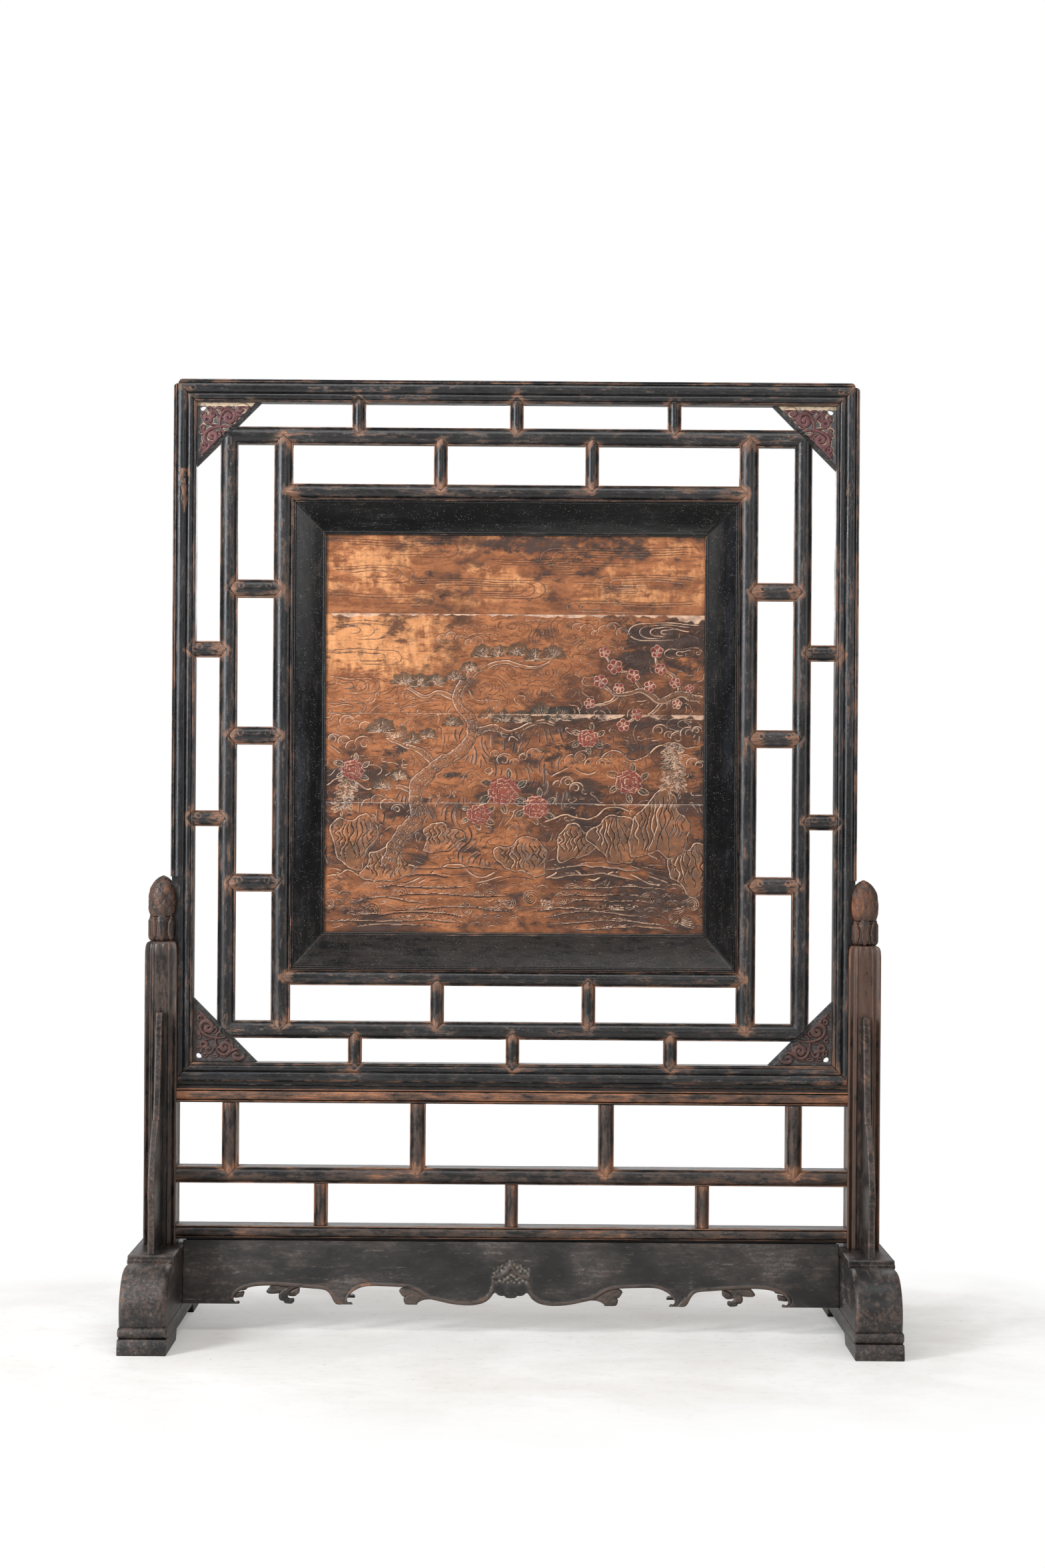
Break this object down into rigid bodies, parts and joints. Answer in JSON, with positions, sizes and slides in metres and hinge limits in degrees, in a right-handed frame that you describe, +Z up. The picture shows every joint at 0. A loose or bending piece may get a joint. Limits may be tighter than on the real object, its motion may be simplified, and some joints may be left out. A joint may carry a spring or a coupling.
{
  "type": "free-standing floor screen",
  "caption": "Free-standing lacquered floor screen: a latticed frame with a boarded panel that lifts out of the grooved posts of a two-footed stand with scrolled aprons.",
  "frame": {"origin": "on the floor, at the middle of the stand in width and depth", "axes": "+Z up, -Y towards the carved front, +X to the right as seen from the front"},
  "size_m": [1.537, 0.62, 1.952],
  "materials": {
    "scuffed_lacquer": "worn matt black-brown lacquer on hardwood, scuffed",
    "worn_brown_lacquer": "brown-black lacquer rubbed thin over wood",
    "red_brown_carving": "red-brown stained carving with dark hollows",
    "rubbed_rail_lacquer": "lacquer largely rubbed through to orange-brown wood",
    "black_lacquer": "satin black lacquer, rubbed through along beads and joints",
    "lattice_lacquer": "satin black lacquer, rubbed through at the pointed joints",
    "painted_carving": "dull red scrolls on a grey-black ground",
    "gloss_black_lacquer": "deep black semi-gloss lacquer with dusty wear",
    "carved_panel_wood": "orange-brown wood with lacquer remnants and pale-filled lines",
    "bare_back_wood": "dark bare wood"
  },
  "bodies": {
    "stand": {"foot_left": "scuffed_lacquer", "foot_right": "scuffed_lacquer", "post_left": "worn_brown_lacquer", "post_right": "worn_brown_lacquer", "finial_left": "red_brown_carving", "finial_right": "red_brown_carving", "standing_spandrel_front_left": "scuffed_lacquer", "standing_spandrel_front_right": "scuffed_lacquer", "standing_spandrel_back_left": "scuffed_lacquer", "standing_spandrel_back_right": "scuffed_lacquer", "stand_rail_upper": "rubbed_rail_lacquer", "stand_rail_middle": "rubbed_rail_lacquer", "stand_rail_lower": "rubbed_rail_lacquer", "stand_struts_upper": "rubbed_rail_lacquer", "stand_struts_lower": "rubbed_rail_lacquer", "apron_front": "scuffed_lacquer", "apron_back": "scuffed_lacquer"},
    "screen": {"frame_stile_left": "black_lacquer", "frame_stile_right": "black_lacquer", "frame_rail_top": "black_lacquer", "frame_rail_bottom": "black_lacquer", "lattice_stile_left": "black_lacquer", "lattice_stile_right": "black_lacquer", "lattice_rail_top": "black_lacquer", "lattice_rail_bottom": "black_lacquer", "inner_stile_left": "lattice_lacquer", "inner_stile_right": "lattice_lacquer", "inner_rail_top": "lattice_lacquer", "inner_rail_bottom": "lattice_lacquer", "outer_struts_top": "lattice_lacquer", "outer_struts_bottom": "lattice_lacquer", "outer_struts_left": "lattice_lacquer", "outer_struts_right": "lattice_lacquer", "inner_struts_top": "lattice_lacquer", "inner_struts_bottom": "lattice_lacquer", "inner_struts_left": "lattice_lacquer", "inner_struts_right": "lattice_lacquer", "corner_spandrel_top_left": "painted_carving", "corner_spandrel_top_right": "painted_carving", "corner_spandrel_bottom_left": "painted_carving", "corner_spandrel_bottom_right": "painted_carving", "panel_frame_top": "gloss_black_lacquer", "panel_frame_bottom": "gloss_black_lacquer", "panel_frame_left": "gloss_black_lacquer", "panel_frame_right": "gloss_black_lacquer", "panel_board_1": "carved_panel_wood", "panel_board_2": "carved_panel_wood", "panel_board_3": "carved_panel_wood", "panel_board_4": "carved_panel_wood", "panel_board_5": "carved_panel_wood", "panel_batten_left": "bare_back_wood", "panel_batten_right": "bare_back_wood"}
  },
  "joints": [
    {"name": "screen_lift", "type": "slide", "parent": "stand", "child": "screen", "axis": [0, 0, 1], "range_m": [0, 0.46]}
  ]
}
